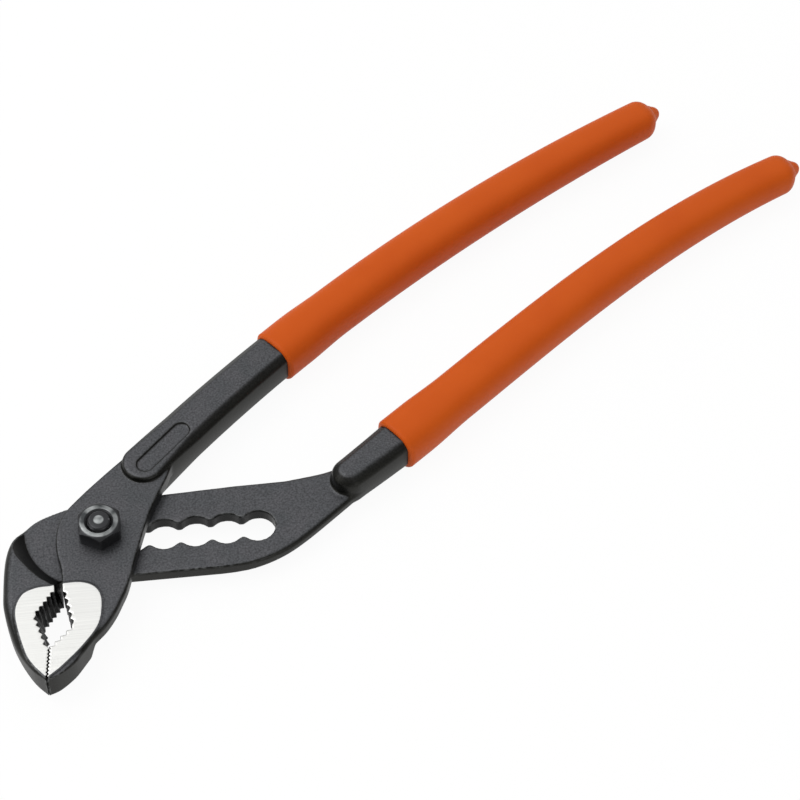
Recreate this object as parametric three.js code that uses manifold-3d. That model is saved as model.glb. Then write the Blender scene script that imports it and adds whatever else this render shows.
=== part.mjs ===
// Water pump pliers: two forged levers lapped on a bolt that seats in a scalloped slot.
// Millimetres, +Z up. The pivot axis is Z, the bolt head's rear face is z = 0,
// and +X runs along the slot toward the handles.
import * as THREE from 'three';
import { mergeVertices } from 'three/addons/utils/BufferGeometryUtils.js';
import { ParametricGeometry } from 'three/addons/geometries/ParametricGeometry.js';
import Module from 'manifold-3d';

// Lap joint
const plate = 3.8; // thickness of each lever where they lap
const run = 0.1; // gap between flat faces that turn on each other
const opening = 72; // degrees that the shoulders leave free
const shoulderGap = 0.8; // between a shoulder and the plate that swings past it

// Slot in the lower lever
const settings = 6;
const pitch = 8;
const scallop = 4.5; // radius
const cusp = 1.44; // radius of the rounded points between scallops
const slotEdge = 11.6; // slot line to the plate's lower edge

// Bolt, washer and nut
const headRadius = 6.8;
const headThick = 2;
const headChamfer = 0.7;
const washerRadius = 8.2;
const washerThick = 0.6;
const boltPlay = 0.2; // radial, bolt shank in its scallop and holes
const flatPlay = 0.2; // each side, bolt flats in the slot's necks
const thread = 6; // diameter
const threadPlay = 0.05; // radial
const nutAcross = 10.6;
const nutThick = 4.6;
const nutChamfer = 1.1; // down the corners
const nutCrown = 0.25; // top face's rim inside the flats
const boltStub = 0.6; // beyond the nut
const boltPoint = 0.4; // chamfer on the bolt's end
const seat = 0.05; // between faces clamped together

// Handles in plan: where each shank starts, and its straight length and angles from the slot line
const upperFrom = [8.4, 15.4];
const upperLong = 191.8;
const upperAngle = 35.9;
const upperLeave = 46.2; // heading at the shank
const upperArrive = 26.6; // heading at the tip
const slotToShank = 21.2; // last scallop's centre to the lower shank's end
const lowerAside = 8.8; // lower shank's end from the slot line
const lowerLong = 167.5;
const lowerAngle = 34.4;
const lowerLeave = 36.1;
const lowerArrive = 21.6;

// Shanks and tangs: half widths, half heights and corner chamfers
const shankHalf = 5.4;
const upperRoot = 5.5;
const upperMouth = 5.1;
const lowerRoot = 4.2;
const lowerMouth = 4.8;
const shankChamfer = 1;
const shankToe = 1.2; // sloping foot of the lower shank on its plate
const toeFade = 5;
const tangWidth = 4.6;
const tangHeight = 4.8;
const tangChamfer = 1.7;
const tangTip = 3.6; // half width at its end
const tangEase = 6; // from the sleeve's mouth to the tang's plain section
const upperBare = 54.6; // shank in front of the sleeve
const lowerBare = 20;
const shankClear = 21; // radius about the pivot where the upper shank's underside starts

// Dipped sleeves
const sleeveWidth = 6.4; // half width behind the mouth
const sleeveHeight = 6.2;
const sleeveBead = 0.4; // swelling at the mouth
const beadLong = 8;
const beadEase = 14; // from the bead to the sleeve's plain width
const sleeveTip = 5.3;
const sleeveSquare = 2.6; // exponent of the section, 2 is an ellipse
const sleeveEnd = 5; // PVC beyond the tang
const sleevePlay = 0.05;
const nibRadius = 1.3;
const nibLong = 2.2;

// Jaws
const jawTip = [-15.2, -42.4];
const biteTop = [-14.2, -33]; // where the fine teeth start
const gripRoot = -10.2; // x of the upper jaw's edge above the pipe grip
const gripHeight = -17.2; // y where the pipe grip starts
const upperGrip = [-8.4, -27.4]; // deepest points of the pipe grip
const lowerGrip = [-17.1, -23.6];
const rootTop = -11; // y where the upper jaw leaves the plate's round end
const rootGap = 2; // between the jaws above the pipe grip
const biteGap = 0.35; // between the fine teeth when closed
const coarseTeeth = 5; // on each side of the pipe grip's deepest point
const shortTeeth = 4; // on the upper jaw below that point
const toothLean = 0.4; // gullet's place along a tooth
const fineTeeth = 9;
const fineDepth = 0.42;
const coarseDepth = 0.85;
const jawRound = 2.6; // rounding of the lower lever's jaw, across
const jawDrop = 2; // and down
const plateRound = 1;
const plateDrop = 1.6;
const lapRound = 0.6;
const groundRise = 0.25; // ground jaw faces above the forging
const groundSlope = 0.5;
const shoulderAt = [-1, 3.5]; // centre of the lower lever's curved shoulder
const shoulderFoot = 18.3; // its radius at the lap
const shoulderTop = 21.7; // and at its top edge

// Outlines in plan: jaw backs from the tip up, plate ends, and the ground jaw faces
const upperBack = [
  [-12.2, -41.2], [-8.3, -38.2], [-5.4, -34.6], [-2.9, -31.3], [0, -28.3], [2.6, -24.5], [4.6, -20.5],
  [6.3, -16.5], [9.2, -6.5], [13, 4.8],
];
const upperRound = [[-5.3, 10.5], [-10, 4.6], [-11.4, -3]];
const lowerBack = [
  [-16.2, 6.3], [-21.4, 0.3], [-24, -5.4], [-25.2, -15], [-25, -21], [-22.7, -31], [-18.9, -38.4],
];
const lowerCheek = [-8.3, 10.2]; // where the lower jaw's back leaves the plate
const upperTail = [[9.6, -0.3], [12.1, 5.6], [5.1, 11.8], [-3.7, 4.5]]; // from the shank's start
const lowerBelly = [[-10, 0], [-2, 0.7], [5.4, 3.1], [11.8, 7]]; // from the slot's end and lower edge
const lowerTail = [
  [0.6, -5.4], [6.8, -0.2], [8.8, 8.2], [4.8, 8.2], [0.8, 7.1], [-4.2, 5.8], [-13.2, 4.6], // likewise
];
const plateRise = 11.6; // slot line to the plate's upper edge
const upperGround = [[-12, -39.4], [-6, -33.7], [-1.5, -27.5], [-0.2, -20.5], [-1.4, -16.6], [-4.8, -14.2]];
const lowerGround = [[-18, -14.3], [-21.6, -16.9], [-22.7, -23], [-20.6, -34], [-18.2, -38.8]];

// Recess on the upper shank
const recessLong = 18.4;
const recessWide = 4.6;
const recessDeep = 0.5;
const recessFrom = 12; // shank end to the recess's middle
const recessAside = -1; // from the shank's centre line

// Heights, from the bolt head up
const lowerFloor = headThick + washerThick + 2 * run;
const lowerTop = lowerFloor + plate;
const upperFloor = lowerTop + run;
const upperTop = upperFloor + plate;
const lap = (lowerTop + upperFloor) / 2;
const boltRadius = scallop - boltPlay;
const neck = 2 * (Math.sqrt((scallop + cusp) ** 2 - (pitch / 2) ** 2) - cusp);
const beyond = 40; // cutters reach this far past what they cut

const wasm = await Module();
wasm.setup();

// A closed geometry as a solid that can be joined and cut
function solid(geometry) {
  geometry.deleteAttribute('normal');
  geometry.deleteAttribute('uv');
  const merged = mergeVertices(geometry, 1e-4);
  const index = Array.from(merged.index.array);
  const triVerts = [];
  for (let i = 0; i < index.length; i += 3) {
    const [a, b, c] = index.slice(i, i + 3);
    if (a !== b && b !== c && c !== a) triVerts.push(a, b, c);
  }
  return new wasm.Manifold(new wasm.Mesh({
    numProp: 3,
    vertProperties: new Float32Array(merged.attributes.position.array),
    triVerts: new Uint32Array(triVerts),
  }));
}

// A plan outline between two heights, its edges rounded by edge across and drop down
function prism(shape, from, to, edge = 0, drop = edge) {
  return solid(new THREE.ExtrudeGeometry(shape, {
    depth: to - from - 2 * drop,
    bevelEnabled: edge > 0,
    bevelSize: edge,
    bevelOffset: -edge,
    bevelThickness: drop,
    bevelSegments: 3,
    curveSegments: 6,
  }).translate(0, 0, from + drop));
}

// A turned body about the pivot axis, or one beside it, from [radius, height] pairs
function turned(profile, sides = 48, [x, y] = [0, 0]) {
  const points = profile.map(([r, z]) => new THREE.Vector2(r, z));
  return solid(new THREE.LatheGeometry(points, sides).rotateX(Math.PI / 2).translate(x, y, 0));
}

// A closed bar along a plan curve; each row is [distance, half width, half height, corner]
function bar(path, rows, section) {
  const long = path.getLength();
  const rings = rows.map(([along, ...size]) => {
    const share = THREE.MathUtils.clamp(along / long, 0, 1);
    const way = path.getTangentAt(share);
    const at = path.getPointAt(share).addScaledVector(way, along - share * long);
    return section(...size).map(([across, up]) => new THREE.Vector3(
      at.x - way.y * across, at.y + way.x * across, lap + up));
  });
  const sides = rings[0].length;
  const surface = (u, v, out) => {
    const ring = rings[Math.round(v * (rings.length - 1))];
    return out.copy(ring[Math.round(u * sides) % sides]);
  };
  return solid(new ParametricGeometry(surface, sides, rings.length - 1));
}

// Sections across a bar: a rectangle with chamfered corners, and a rounded one
function chamfered(w, h, corner) {
  const c = Math.min(corner, w, h);
  const right = [[w, c - h], [w, h - c], [w - c, h]];
  const left = right.map(([x, z]) => [-x, -z]);
  return [...right, [c - w, h], ...left, [w - c, -h]];
}
function rounded(w, h, exponent) {
  return Array.from({ length: 20 }, (_, i) => {
    const turn = 2 * Math.PI * (i + 0.5) / 20;
    const bend = (value) => Math.sign(value) * Math.abs(value) ** (2 / exponent);
    return [w * bend(Math.cos(turn)), h * bend(Math.sin(turn))];
  });
}

const vectors = (points) => points.map(([x, y]) => new THREE.Vector2(x, y));
const outline = (points) => new THREE.Shape(vectors(points));
const shifted = ([x, y], points) => points.map(([across, up]) => [x + across, y + up]);

// Saw teeth from one point toward another: crests on the line, gullets to its left
function teeth(from, to, count, depth) {
  const step = new THREE.Vector2((to[0] - from[0]) / count, (to[1] - from[1]) / count);
  const out = new THREE.Vector2(-step.y, step.x).normalize().multiplyScalar(depth);
  const points = [];
  for (let i = 0; i < count; i += 1) {
    const x = from[0] + i * step.x;
    const y = from[1] + i * step.y;
    points.push([x, y], [x + toothLean * step.x + out.x, y + toothLean * step.y + out.y]);
  }
  return points;
}

// Centre line of a handle from the shank's round end to the sleeve's tip
function handle([x, y], long, angle, leave, arrive) {
  const from = new THREE.Vector3(x, y, 0);
  const toward = (point, degrees, distance) => {
    const turn = THREE.MathUtils.degToRad(degrees);
    const way = new THREE.Vector3(Math.cos(turn), Math.sin(turn), 0);
    return point.clone().addScaledVector(way, distance);
  };
  const tip = toward(from, angle, long);
  return new THREE.CubicBezierCurve3(
    from, toward(from, leave, long / 3), toward(tip, arrive, -long / 3), tip);
}

const slotLong = (settings - 1) * pitch;
const lowerFrom = [slotLong + slotToShank, lowerAside];
const upperPath = handle(upperFrom, upperLong, upperAngle, upperLeave, upperArrive);
const lowerPath = handle(lowerFrom, lowerLong, lowerAngle, lowerLeave, lowerArrive);

// Shank and tang in one: round end, bare shank, then the tapering tang
function shank(path, root, mouth, bare, play = 0) {
  const end = path.getLength() - sleeveEnd + play;
  const rows = [];
  for (let i = 0; i <= 8; i += 1) {
    const turn = i * Math.PI / 16;
    rows.push([root * (1 - Math.cos(turn)), root * Math.sin(turn), shankHalf, shankChamfer]);
  }
  for (let i = 1; i <= 6; i += 1) {
    const along = root + (bare - root) * i / 6;
    rows.push([along, root + (mouth - root) * i / 6, shankHalf, shankChamfer]);
  }
  for (let i = 0; i <= 10; i += 1) {
    const part = i / 10;
    const along = bare + tangEase + part * (end - bare - tangEase);
    const width = tangWidth + part * (tangTip - tangWidth);
    const height = tangHeight + part * (tangTip - tangWidth);
    rows.push([along, width, height, tangChamfer]);
  }
  rows.push([end, 0, 0, 0]);
  return bar(path, rows.map(([s, w, h, c]) => [s, w && w + play, h && h + play, c]), chamfered);
}

// Foot of a shank that rises from its plate, fading along the shank's sides
function toe(path, root) {
  const wide = root + shankToe;
  const rows = [];
  for (let i = 0; i <= 8; i += 1) {
    const turn = i * Math.PI / 16;
    rows.push([wide * (1 - Math.cos(turn)) - shankToe, wide * Math.sin(turn), shankToe, shankToe]);
  }
  rows.push([root + toeFade, root, shankToe, shankToe], [root + toeFade, 0, 0, 0]);
  return bar(path, rows, chamfered);
}

// Dipped sleeve: beaded mouth, taper, domed end with the drip nib, hollow over the tang
function sleeve(path, root, mouth, bare) {
  const long = path.getLength();
  const dome = sleeveTip;
  const rows = [[bare, 0, 0, sleeveSquare]];
  const ring = (along, w, h) => rows.push([along, w, h, sleeveSquare]);
  ring(bare, sleeveWidth, sleeveHeight);
  ring(bare + sleeveBead, sleeveWidth + sleeveBead, sleeveHeight + sleeveBead);
  ring(bare + beadLong, sleeveWidth + sleeveBead, sleeveHeight + sleeveBead);
  for (let i = 0; i <= 14; i += 1) {
    const part = i / 14;
    const thin = part * part * (sleeveWidth - sleeveTip);
    const from = bare + beadLong + beadEase;
    ring(from + part * (long - dome - from), sleeveWidth - thin, sleeveHeight - thin);
  }
  for (let i = 1; i <= 4; i += 1) {
    const turn = i * Math.PI / 10;
    const part = Math.cos(turn);
    const tall = sleeveHeight - sleeveWidth + sleeveTip;
    ring(long - dome + (dome - nibLong) * Math.sin(turn), sleeveTip * part, tall * part);
  }
  ring(long - nibLong / 2, nibRadius, nibRadius);
  ring(long, nibRadius / 2, nibRadius / 2);
  rows.push([long, 0, 0, sleeveSquare]);
  return bar(path, rows, rounded).subtract(shank(path, root, mouth, bare, sleevePlay));
}

// Slot outline: scallops joined by rounded cusps that leave the neck free
function slotShape() {
  const high = neck / 2 + cusp;
  const lean = Math.atan2(high, pitch / 2);
  const shape = new THREE.Shape();
  const last = settings - 1;
  for (let i = last; i >= 0; i -= 1) {
    shape.absarc(i * pitch, 0, scallop, i === last ? 0 : lean, i ? Math.PI - lean : Math.PI);
    if (i) shape.absarc((i - 0.5) * pitch, high, cusp, -lean, lean - Math.PI, true);
  }
  for (let i = 0; i <= last; i += 1) {
    shape.absarc(i * pitch, 0, scallop, i ? Math.PI + lean : Math.PI, i === last ? 0 : -lean);
    if (i < last) shape.absarc((i + 0.5) * pitch, -high, cusp, Math.PI - lean, lean, true);
  }
  return shape;
}

// Two flats across a bolt body, as wide as the slot's necks let through
function flatted(body, play = 0) {
  const flats = new THREE.BoxGeometry(2 * beyond, neck - 2 * flatPlay + 2 * play, 4 * beyond);
  return body.intersect(solid(flats));
}

// Closed bite: the fine teeth's line, shared by both jaws
const bite = [...teeth(biteTop, jawTip, fineTeeth, fineDepth), jawTip];
const past = [jawTip[0], 2 * jawTip[1]];

// Upper jaw's working edge, from its root down past the tip
const upperEdge = [
  [gripRoot, rootTop],
  ...teeth([gripRoot, gripHeight], upperGrip, coarseTeeth, coarseDepth),
  ...teeth(upperGrip, biteTop, shortTeeth, coarseDepth),
  ...bite,
  past,
];

// Lower jaw's working edge, the same way down
const lowerEdge = [
  [gripRoot - rootGap, -slotEdge],
  ...teeth([gripRoot - rootGap, gripHeight], lowerGrip, coarseTeeth, -coarseDepth),
  ...teeth(lowerGrip, [biteTop[0] - biteGap, biteTop[1]], coarseTeeth, -coarseDepth),
  ...[...bite, past].map(([x, y]) => [x - biteGap, y]),
];
const leftOfUpper = outline([...upperEdge, [-beyond, past[1]], [-beyond, rootTop]]);
const rightOfLower = outline([...lowerEdge, [beyond, past[1]], [beyond, -slotEdge]]);

// Ground faces of both jaws, front and back, before the bite parts them
const ground = prism(
  new THREE.Shape()
    .moveTo(...jawTip)
    .lineTo(...upperGround[0])
    .splineThru(vectors(upperGround.slice(1)))
    .lineTo(...lowerGround[0])
    .splineThru(vectors(lowerGround.slice(1))),
  lowerFloor - groundRise, upperTop + groundRise, groundSlope, groundRise);

// Upper lever's plate and jaw, its end hidden in the shank
const upperEnd = shifted(upperFrom, upperTail);
const upperPlan = new THREE.Shape()
  .moveTo(...jawTip)
  .splineThru(vectors([...upperBack, upperEnd[0]]))
  .lineTo(...upperEnd[1])
  .lineTo(...upperEnd[2])
  .splineThru(vectors([upperEnd[3], ...upperRound, [gripRoot, rootTop]]))
  .lineTo(2 * gripRoot, rootTop)
  .lineTo(2 * gripRoot, jawTip[1]);

// What the upper lever leaves free for the lower one's plate, at rest and swung open
const free = slotEdge + shoulderGap;
const swing = THREE.MathUtils.degToRad(opening);
const apex = [-free * Math.tan(swing / 2), -free];
const lapCut = outline([
  [-beyond, -free], apex,
  [apex[0] + beyond * Math.cos(swing), apex[1] - beyond * Math.sin(swing)],
  [beyond, -beyond], [beyond, beyond], [-beyond, beyond],
]);

// Stadium recess along the upper shank
const recessAt = upperPath.getPointAt(recessFrom / upperPath.getLength());
const recessWay = upperPath.getTangentAt(recessFrom / upperPath.getLength());
const recessTurn = Math.atan2(recessWay.y, recessWay.x);
const recess = new THREE.Shape();
for (const end of [1, -1]) {
  const along = end * (recessLong - recessWide) / 2;
  const x = recessAt.x + recessWay.x * along - recessWay.y * recessAside;
  const y = recessAt.y + recessWay.y * along + recessWay.x * recessAside;
  const from = recessTurn - end * Math.PI / 2;
  recess.absarc(x, y, recessWide / 2, from, from + Math.PI);
}

const underShank = turned([
  [0, -beyond], [shankClear, -beyond], [shankClear, upperFloor], [0, upperFloor],
], 64);
const boltHole = turned([
  [0, -beyond], [boltRadius + seat, -beyond], [boltRadius + seat, beyond], [0, beyond],
]);
const upperLever = prism(upperPlan, lowerFloor, upperTop, plateRound, plateDrop)
  .add(ground)
  .subtract(prism(lapCut, -beyond, upperFloor))
  .subtract(prism(leftOfUpper, -beyond, beyond))
  .add(shank(upperPath, upperRoot, upperMouth, upperBare).subtract(underShank))
  .subtract(prism(recess, lap + shankHalf - recessDeep, beyond))
  .subtract(flatted(boltHole, seat));

// Lower lever: slotted plate, jaw with a curved shoulder round the other plate, and shank
const belly = shifted([slotLong, -slotEdge], lowerBelly);
const lowerEnd = shifted(lowerFrom, lowerTail);
const lowerPlan = new THREE.Shape()
  .moveTo(gripRoot - rootGap, -slotEdge)
  .lineTo(...belly[0])
  .splineThru(vectors([...belly.slice(1), ...lowerEnd.slice(0, 2)]))
  .lineTo(...lowerEnd[2])
  .lineTo(...lowerEnd[3])
  .splineThru(vectors(lowerEnd.slice(4)))
  .lineTo(0, plateRise)
  .lineTo(...lowerCheek)
  .lineTo(2 * lowerCheek[0], lowerCheek[1] / 2);
const lowerJaw = new THREE.Shape()
  .moveTo(...lowerCheek)
  .splineThru(vectors([...lowerBack, jawTip]))
  .lineTo(gripRoot + rootGap, jawTip[1])
  .lineTo(gripRoot + rootGap, -slotEdge)
  .lineTo(0, 0);
const shoulder = turned([
  [0, lowerTop], [shoulderFoot, lowerTop], [shoulderTop, upperTop], [shoulderTop, beyond], [0, beyond],
], 64, shoulderAt);
const lowerLever = prism(lowerJaw, lowerFloor, upperTop, jawRound, jawDrop)
  .subtract(shoulder)
  .add(ground)
  .add(prism(lowerPlan, lowerFloor, lowerTop, lapRound))
  .subtract(prism(rightOfLower, -beyond, beyond))
  .add(shank(lowerPath, lowerRoot, lowerMouth, lowerBare))
  .add(toe(lowerPath, lowerRoot))
  .subtract(prism(slotShape(), -beyond, beyond));

// Bolt: chamfered head, then a stem with two flats, its end chamfered
const nutFloor = upperTop + seat;
const boltTop = nutFloor + nutThick + boltStub;
const threadRadius = thread / 2;
const bolt = turned([
  [0, 0], [headRadius - headChamfer, 0], [headRadius, headChamfer], [headRadius, headThick], [0, headThick],
]).add(flatted(turned([
  [0, headThick / 2], [boltRadius, headThick / 2], [boltRadius, upperTop], [threadRadius, upperTop],
  [threadRadius, boltTop - boltPoint], [threadRadius - boltPoint, boltTop], [0, boltTop],
])));

// Washer under the head
const washerFloor = headThick + run;
const washerHole = boltRadius + run;
const washer = turned([
  [washerHole, washerFloor], [washerRadius, washerFloor], [washerRadius, washerFloor + washerThick],
  [washerHole, washerFloor + washerThick], [washerHole, washerFloor],
]);

// Hexagon nut, its top corners turned off
const nutCorner = nutAcross / Math.sqrt(3);
const nutHex = new THREE.CylinderGeometry(nutCorner, nutCorner, nutThick, 6)
  .rotateX(Math.PI / 2).translate(0, 0, nutFloor + nutThick / 2);
const nutTop = nutFloor + nutThick;
const nutHole = threadRadius + threadPlay;
const nutFace = nutAcross / 2 - nutCrown;
const nutWide = 2 * nutCorner - nutFace; // as far past the corners as they are past the face
const nut = solid(nutHex).intersect(turned([
  [nutHole, nutFloor], [nutWide, nutFloor], [nutWide, nutTop - 2 * nutChamfer],
  [nutFace, nutTop], [nutHole, nutTop], [nutHole, nutFloor],
]));

// Materials as they look
const steel = { color: 0x505254, roughness: 0.5, metalness: 0.7 };
const pvc = { color: 0xc0521c, roughness: 0.4, metalness: 0 };
const blacked = { color: 0x35363a, roughness: 0.4, metalness: 0.8 };

function part(name, body, look) {
  const mesh = body.getMesh();
  const geometry = new THREE.BufferGeometry();
  geometry.setAttribute('position', new THREE.BufferAttribute(mesh.vertProperties, 3));
  geometry.setIndex(new THREE.BufferAttribute(mesh.triVerts, 1));
  geometry.computeVertexNormals();
  const piece = new THREE.Mesh(geometry, new THREE.MeshStandardMaterial(look));
  piece.name = name;
  return piece;
}

const pliers = new THREE.Group();
pliers.add(
  part('lower_lever', lowerLever, steel),
  part('upper_lever', upperLever, steel),
  part('lower_grip', sleeve(lowerPath, lowerRoot, lowerMouth, lowerBare), pvc),
  part('upper_grip', sleeve(upperPath, upperRoot, upperMouth, upperBare), pvc),
  part('pivot_bolt', bolt, blacked),
  part('pivot_washer', washer, blacked),
  part('pivot_nut', nut, blacked),
);

export default pliers;
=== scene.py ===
import bmesh
import bpy
import numpy as np
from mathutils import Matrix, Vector


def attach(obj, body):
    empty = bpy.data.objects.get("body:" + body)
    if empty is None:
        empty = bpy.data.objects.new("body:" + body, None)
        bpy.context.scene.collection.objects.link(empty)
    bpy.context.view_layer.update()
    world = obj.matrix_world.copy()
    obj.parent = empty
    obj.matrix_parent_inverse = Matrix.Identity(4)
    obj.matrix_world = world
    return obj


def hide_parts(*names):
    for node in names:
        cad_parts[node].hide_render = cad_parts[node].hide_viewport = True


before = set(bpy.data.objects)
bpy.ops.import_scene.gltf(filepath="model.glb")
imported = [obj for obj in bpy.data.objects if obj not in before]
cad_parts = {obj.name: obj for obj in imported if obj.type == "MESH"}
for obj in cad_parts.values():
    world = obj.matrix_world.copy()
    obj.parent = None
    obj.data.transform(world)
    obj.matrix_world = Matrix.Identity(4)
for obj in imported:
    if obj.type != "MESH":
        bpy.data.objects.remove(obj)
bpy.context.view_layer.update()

# Pivot bolt: steel, headed and turned in one, with two milled flats on its stem that pass the slot's
# necks, and a rolled M6 thread whose end stands out of the nut. Finished in black oxide and oiled.
MM = 0.001
head_radius, head_thick, head_chamfer, bolt_ease = 6.8, 2.0, 0.7, 0.15
stem_radius, stem_flat, stem_top = 4.3, 2.74, 10.5
thread_radius, thread_pitch, thread_depth = 3.0, 1.0, 0.5
thread_start, thread_row, root_flat = 0.05, 0.09, 1.15
bolt_top, end_chamfer, end_dome = 15.75, 0.4, 0.2
dimple_deep, dimple_wide = 0.12, 0.3
end_rubbed_above, end_rubbed_within = 15.4, 1.3


def quad_piece(name, points, quads):
    """A new object at the origin from points in millimetres and quads of point numbers, shaded smooth."""
    mesh = bpy.data.meshes.new(name)
    mesh.vertices.add(len(points))
    mesh.vertices.foreach_set("co", (points * MM).astype(np.float32).ravel())
    mesh.loops.add(quads.size)
    mesh.loops.foreach_set("vertex_index", quads.astype(np.int32).ravel())
    mesh.polygons.add(len(quads))
    mesh.polygons.foreach_set("loop_start", np.arange(0, quads.size, 4, dtype=np.int32))
    mesh.polygons.foreach_set("use_smooth", np.ones(len(quads), dtype=bool))
    mesh.update(calc_edges=True)
    piece = bpy.data.objects.new(name, mesh)
    bpy.context.scene.collection.objects.link(piece)
    return piece


def ring_quads(rows, around):
    """Point numbers of the quads between neighbouring rings of a grid, each ring closed on itself."""
    number = np.arange(rows * around).reshape(rows, around)
    beside = np.roll(number, -1, axis=1)
    return np.stack([number[:-1], beside[:-1], beside[1:], number[1:]], axis=-1).reshape(-1, 4)


def ring_piece(name, points, sharp=None):
    """A piece from a grid of rings; rings that shrink to a point or meet are merged, and an edge that
    turns by more than the given angle stays sharp."""
    rows, around = points.shape[:2]
    piece = quad_piece(name, points.reshape(-1, 3), ring_quads(rows, around))
    work = bmesh.new()
    work.from_mesh(piece.data)
    bmesh.ops.remove_doubles(work, verts=work.verts, dist=1e-6)
    work.to_mesh(piece.data)
    work.free()
    if sharp:
        piece.data.set_sharp_from_angle(angle=np.radians(sharp))
    return piece


def eased(corners, reach, steps=4):
    """A profile with its inner corners rounded: each becomes a quadratic curve from the point a set
    distance before it to the point that distance after it, at most 0.48 of the side's length."""
    corners = np.asarray(corners, float)
    at = corners[1:-1]
    before, after = corners[:-2] - at, corners[2:] - at
    long_before = np.hypot(*before.T)[:, None]
    long_after = np.hypot(*after.T)[:, None]
    cut = np.broadcast_to(np.asarray(reach, float), len(at))[:, None]
    first = at + before / long_before * np.minimum(cut, 0.48 * long_before)
    last = at + after / long_after * np.minimum(cut, 0.48 * long_after)
    t = np.linspace(0, 1, steps)[None, :, None]
    bent = (1 - t) ** 2 * first[:, None] + 2 * t * (1 - t) * at[:, None] + t * t * last[:, None]
    return np.vstack([corners[:1], bent.reshape(-1, 2), corners[-1:]])


def turned(radius, height, turn):
    """Rings about the pivot axis: at each height and angle the point at that radius."""
    radius, height, turn = np.broadcast_arrays(radius, height, turn)
    return np.stack([radius * np.cos(turn), radius * np.sin(turn), height], axis=-1)


def burnish(piece, above, within, share):
    """Marks the points above a height and within a radius of the pivot axis, where the finish is
    rubbed to bare steel, with how far it is rubbed."""
    place = np.empty(3 * len(piece.data.vertices), dtype=np.float32)
    piece.data.vertices.foreach_get("co", place)
    x, y, z = place.reshape(-1, 3).T / MM
    rubbed = share * ((z > above) & (np.hypot(x, y) < within)).astype(np.float32)
    piece.data.attributes.new("rubbed", "FLOAT", "POINT").data.foreach_set("value", rubbed)


turn = np.linspace(0, 2 * np.pi, 120, endpoint=False)[None, :]
body = eased([
    (0, 0), (head_radius - head_chamfer, 0), (head_radius, head_chamfer), (head_radius, head_thick),
    (stem_radius, head_thick), (stem_radius, stem_top), (thread_radius - thread_depth, stem_top),
], bolt_ease)
body_radius, body_height = body[:, :1], body[:, 1:]
flat = stem_flat / np.maximum(np.abs(np.sin(turn)), 1e-3)
on_stem = (body_height > head_thick + 1e-3) & (body_radius <= stem_radius)
body_radius = np.where(on_stem, np.minimum(body_radius, flat), body_radius)

# thread: a ridge that climbs one pitch a turn, cut to a cone at the end, which is domed and dimpled
climb = np.arange(stem_top + thread_start, bolt_top - end_dome, thread_row)[:, None]
ridge = np.abs(2 * np.mod(climb / thread_pitch - turn / (2 * np.pi), 1) - 1)
cone = thread_radius - np.maximum(climb - (bolt_top - end_dome - end_chamfer), 0)
thread = np.minimum(thread_radius - thread_depth * np.minimum(ridge * root_flat, 1), cone)
share = np.linspace(0.97, 0, 10)[:, None]
dome_radius = share * (thread_radius - end_chamfer - 0.02)
dome_height = bolt_top - end_dome * share ** 2 - dimple_deep * np.exp(-(share / dimple_wide) ** 2)
pivot_bolt = ring_piece("pivot_bolt_turned", np.vstack([
    turned(body_radius, body_height, turn),
    turned(thread, climb, turn),
    turned(dome_radius, dome_height, turn),
]), sharp=50)
burnish(pivot_bolt, end_rubbed_above, end_rubbed_within, 1)
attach(pivot_bolt, "upper")
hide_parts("pivot_bolt")


def linear(colour):
    """Linear colour, with alpha, of an sRGB hex value."""
    parts = np.array([int(colour[i:i + 2], 16) for i in (1, 3, 5)]) / 255
    parts = np.where(parts <= 0.04045, parts / 12.92, ((parts + 0.055) / 1.055) ** 2.4)
    return (*parts.tolist(), 1.0)


def add(tree, kind, sockets, **settings):
    """Adds a shader node with its settings; each socket, by name or number, takes a value or a link."""
    made = tree.nodes.new("ShaderNode" + kind)
    for key, value in settings.items():
        setattr(made, key, value)
    for key, value in sockets.items():
        if isinstance(value, bpy.types.NodeSocket):
            tree.links.new(value, made.inputs[key])
        else:
            made.inputs[key].default_value = value
    return made


def noise(tree, place, grain, detail):
    """Noise between 0 and 1 with a grain of a size in millimetres."""
    sockets = {"Vector": place, "Scale": 1 / (grain * MM), "Detail": detail}
    return add(tree, "TexNoise", sockets).outputs["Fac"]


def blend(tree, share, first, second):
    """The colour that lies a share of the way from a first one to a second."""
    return add(tree, "Mix", {0: share, 6: first, 7: second}, data_type="RGBA").outputs[2]


def spread(tree, value, first, last, low=0, high=1, **settings):
    """A value's place between two limits, never outside them, laid out from a low to a high result."""
    limits = {"From Min": first, "From Max": last, "To Min": low, "To Max": high}
    return add(tree, "MapRange", {"Value": value, **limits}, **settings).outputs[0]


def marked(tree, label):
    """The values that a piece's points carry under a label."""
    return add(tree, "Attribute", {}, attribute_name=label).outputs["Fac"]


# Black oxide on turned steel: a thin dark skin with the metal's shine through it, paler on worn edges
# and rubbed to patches of bare steel on the nut's top and the bolt's end, which touch the bench
oxide = bpy.data.materials.new("black oxide steel")
oxide.use_nodes = True
tree = oxide.node_tree
shader = tree.nodes["Principled BSDF"]
place = add(tree, "TexCoord", {}).outputs["Object"]
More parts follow.
